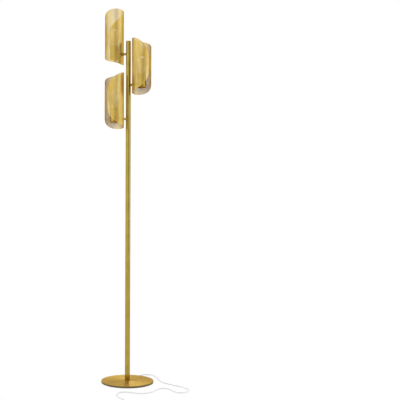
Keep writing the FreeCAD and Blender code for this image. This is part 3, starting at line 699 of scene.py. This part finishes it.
def flute_swell(angle, height):
    """The flutes round a knob's side."""
    if not FLUTE_MARGIN < height < KNOB_LENGTH - FLUTE_MARGIN:
        return 0
    return FLUTE_DEPTH * (math.cos(FLUTES * angle) - 1) / 2


def make_knob(head):
    """The switch knob, with fluted sides and a rounded lower edge, and its spindle."""
    profile = [(0, 0)]
    for step in range(KNOB_ROUND_STEPS + 1):
        angle = math.pi / 2 * step / KNOB_ROUND_STEPS
        inset = KNOB_ROUND * (1 - math.sin(angle))
        profile.append((KNOB_RADIUS - inset, KNOB_ROUND * (1 - math.cos(angle))))
    low = FLUTE_MARGIN
    high = KNOB_LENGTH - FLUTE_MARGIN
    for height in (low, low + FLUTE_RUNOUT, high - FLUTE_RUNOUT, high, KNOB_LENGTH):
        profile.append((KNOB_RADIUS, height))
    profile += [(SPINDLE_RADIUS, KNOB_LENGTH), (SPINDLE_RADIUS, SPINDLE_TOP), (0, SPINDLE_TOP)]
    knob = turned_mesh(f"{head}_fluted_knob", profile, stand_on(f"{head}_knob"), flute_swell)
    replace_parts(link_piece(knob, "brass_thread", f"{head}_knob"), f"{head}_knob")


def way_out():
    """The level direction in which the cord leaves the base."""
    angle = math.radians(GLAND_ANGLE)
    return Vector((math.cos(angle), math.sin(angle), 0))


def make_gland():
    """The strain relief: a taper cut into rings, moulded onto the lead."""
    outward = way_out()
    side = Vector((-outward.y, outward.x, 0))
    up = Vector((0, 0, 1))

    def place(point):
        return outward * point.z + side * point.x + up * (CORD_EXIT_HEIGHT + point.y)

    profile = [(0, GLAND_TAIL), (CORD_DIAMETER / 2, GLAND_TAIL), (CORD_DIAMETER / 2, GLAND_SEAT)]
    profile += [(GLAND_RADIUS, GLAND_SEAT), (GLAND_RADIUS, GLAND_TAPER_START)]
    spacing = (GLAND_REACH - GLAND_TAPER_START) / GLAND_RINGS
    shrink = (GLAND_RADIUS - GLAND_TIP_RADIUS) / GLAND_RINGS
    for number in range(GLAND_RINGS):
        start = GLAND_TAPER_START + spacing * number
        radius = GLAND_RADIUS - shrink * (number + 1)
        for share, grooved in GLAND_CUTS:
            profile.append((radius - grooved * GLAND_GROOVE, start + spacing * share))
    profile += [(GLAND_TIP_RADIUS, GLAND_REACH), (0, GLAND_REACH)]
    gland = link_piece(turned_mesh("strain_relief", profile, place), "lead")
    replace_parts(gland, "cord_gland")
    return gland


# ---------------------------------------------------------------- cord


def coil_point(quarter):
    """A point of the coil after a number of quarter turns: in below, up, and out on top."""
    angle = math.pi + quarter * math.pi / 2
    steps = quarter - COIL_REVERSAL
    radius = COIL_INNER_RADIUS + TURN_PITCH * abs(steps) / 4
    climbed = (1 + math.sin(math.pi / 2 * max(-1, min(1, steps)))) / 2
    return Vector((
        COIL_CENTRE[0] + radius * math.cos(angle),
        COIL_CENTRE[1] + radius * math.sin(angle),
        CORD_DIAMETER / 2 + TURN_PITCH * climbed,
    ))


def make_tie():
    """A soft strap wound a little more than once round the coil's turns, flat on the floor."""
    turns = [coil_point(quarter) for quarter in TIE_QUARTERS]
    vertices = []
    faces = []
    for step in range(TIE_STEPS + 1):
        wound = TIE_TURN * step / TIE_STEPS
        angle = math.radians(TIE_START + wound)
        outward = Vector((0, math.cos(angle), math.sin(angle)))
        # The strap goes round whichever turn is the furthest out here.
        turn = max(turns, key=outward.dot)
        inside = CORD_DIAMETER / 2 + TIE_CLIMB * wound / 360
        for reach, side in ((0, -1), (0, 1), (TIE_THICKNESS, 1), (TIE_THICKNESS, -1)):
            point = turn + outward * (inside + reach)
            height = max(point.z, TIE_THICKNESS - reach)
            vertices.append((point.x + side * TIE_WIDTH / 2, point.y, height))
        if step < TIE_STEPS:
            first = 4 * step
            for corner in range(4):
                after = (corner + 1) % 4
                faces.append((first + corner, first + after, first + 4 + after, first + 4 + corner))
    faces.append((3, 2, 1, 0))
    faces.append(tuple(4 * TIE_STEPS + corner for corner in range(4)))
    return link_piece(smooth_mesh("cord_strap", vertices, faces), "plug")


def make_cord(gland, tie):
    """One smooth line from the base's strain relief to the plug, wound up past the frame's edge."""
    outward = way_out()
    exit_point = outward * GLAND_REACH + Vector((0, 0, CORD_EXIT_HEIGHT))
    floor = CORD_DIAMETER / 2
    # How much the coil's radius changes for each radian that it turns.
    slope = TURN_PITCH / (2 * math.pi)
    coil_start = coil_point(0)
    start_radius = (coil_start - Vector((*COIL_CENTRE, floor))).length
    heading = Vector((slope, -start_radius, 0)).normalized()
    coil_end = coil_point(COIL_QUARTERS)
    end_radius = COIL_CENTRE[1] - coil_end.y
    out_heading = Vector((end_radius, -slope, 0)).normalized()
    points = [exit_point, exit_point + outward * CORD_STRAIGHT]
    points += [Vector((x, y, floor)) for x, y in CORD_ROUTE]
    for before in (COIL_APPROACH + CORD_DIAMETER, CORD_DIAMETER):
        points.append(coil_start - heading * before)
    # The spline runs inside its points, so the coil's points stand out by what it cuts off.
    swell = 1 / math.cos(math.pi / 4 / COIL_STEPS)
    centre = Vector((*COIL_CENTRE, 0))
    for step in range(COIL_QUARTERS * COIL_STEPS + 1):
        point = coil_point(step / COIL_STEPS)
        flat = Vector((point.x, point.y, 0)) - centre
        points.append(centre + flat * swell + Vector((0, 0, point.z)))
    points.append(coil_end + out_heading * CORD_DIAMETER)

    curve = bpy.data.curves.new("mains_lead", "CURVE")
    curve.dimensions = "3D"
    curve.bevel_depth = CORD_DIAMETER / 2
    curve.bevel_resolution = CORD_ROUND_STEPS
    curve.resolution_u = CORD_CURVE_STEPS
    curve.use_fill_caps = True
    spline = curve.splines.new("NURBS")
    spline.points.add(len(points) - 1)
    for point, target in zip(points, spline.points):
        target.co = (*point, 1)
    spline.order_u = 3
    spline.use_endpoint_u = True
    lead = link_piece(curve, "lead")
    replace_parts(lead, "cord_lead", "cord_coil")


# ---------------------------------------------------------------- studio


def make_camera():
    """The photograph's own view."""
    camera = bpy.data.objects.new("camera", bpy.data.cameras.new("camera"))
    bpy.context.scene.collection.objects.link(camera)
    camera.data.sensor_width = SENSOR_WIDTH
    camera.data.lens = SENSOR_WIDTH / IMAGE_WIDTH * CAMERA_DISTANCE / PIXEL_AT_LAMP
    camera.data.shift_x = (IMAGE_WIDTH / 2 - LAMP_COLUMN) / IMAGE_WIDTH
    camera.data.shift_y = (HORIZON_ROW - IMAGE_WIDTH / 2) / IMAGE_WIDTH
    camera.data.clip_start = NEAREST_SEEN
    camera.data.clip_end = FURTHEST_SEEN
    camera.location = (0, -CAMERA_DISTANCE, CAMERA_HEIGHT)
    camera.rotation_euler = (math.pi / 2, math.radians(-CAMERA_ROLL), 0)
    bpy.context.scene.camera = camera


def shown_white(graph, shader, strength, share, seen_by, output):
    """Show a share of plain white to the named kinds of ray, and a shader for the rest."""
    kind = "ShaderNodeBackground" if output == "World Output" else "ShaderNodeEmission"
    white = graph.add(kind, sockets={"Color": (1, 1, 1), "Strength": strength})
    mask = 0.0
    for ray in seen_by:
        mask = graph.maths("MAXIMUM", mask, graph.add("ShaderNodeLightPath", output=ray))
    shown = graph.add("ShaderNodeMixShader", sockets={0: mask * share, 1: shader, 2: white})
    graph.feed(graph.tree.nodes[output], {"Surface": shown})


def make_floor():
    """A white floor that keeps a trace of its own shading, and so the lamp's soft shadow."""
    mesh = bpy.data.meshes.new("floor")
    corners = [
        (right * FLOOR_REACH, away * FLOOR_REACH, -FLOOR_DROP)
        for right, away in ((-1, -1), (1, -1), (1, 1), (-1, 1))
    ]
    mesh.from_pydata(corners, [], [(0, 1, 2, 3)])
    floor = bpy.data.objects.new("floor", mesh)
    bpy.context.scene.collection.objects.link(floor)
    finish = Finish("floor")
    finish.set({"Base Color": (FLOOR_COLOUR,) * 3, "Roughness": FLOOR_ROUGHNESS})
    shading = Signal(finish, finish.shader.outputs[0])
    rays = ("Is Camera Ray", "Is Transmission Ray", "Is Glossy Ray")
    shown_white(finish, shading, FLOOR_WHITE, FLOOR_WHITE_SHARE, rays, "Material Output")
    mesh.materials.append(finish.material)


def make_studio():
    """A white surround for metal to reflect, with soft screens that show how round it is."""
    scene = bpy.context.scene
    scene.world = bpy.data.worlds.new("studio")
    scene.world.use_nodes = True
    graph = Graph(scene.world.node_tree)
    direction = graph.add("ShaderNodeTexCoord", output="Generated")
    across, away, above = [
        graph.add("ShaderNodeSeparateXYZ", sockets={0: direction}, output=axis) for axis in "XYZ"
    ]
    bearing = graph.maths("ARCTAN2", across, away * -1.0) * DEGREES_IN_RADIAN
    height = graph.maths("ARCSINE", above) * DEGREES_IN_RADIAN
    reflected = graph.add("ShaderNodeLightPath", output="Is Glossy Ray")
    level = SURROUND + reflected * (WHITE - SURROUND)
    for middle, reach, up, rise, soft, strength in SCREENS:
        across_screen = abs(bearing - middle).between(reach + soft, reach - soft)
        up_screen = abs(height - up).between(rise + soft, rise - soft)
        level = level + across_screen * up_screen * strength
    light = graph.add("ShaderNodeBackground", sockets={"Color": (1, 1, 1), "Strength": level})
    shown_white(graph, light, WHITE, 1.0, ("Is Camera Ray", "Is Transmission Ray"), "World Output")
    scene.view_settings.view_transform = "Standard"


finish_cad_nodes()
for head_name in HEADS:
    make_shade(head_name)
    make_bulb(head_name)
    make_knob(head_name)
make_cord(make_gland(), make_tie())
make_camera()
make_floor()
make_studio()
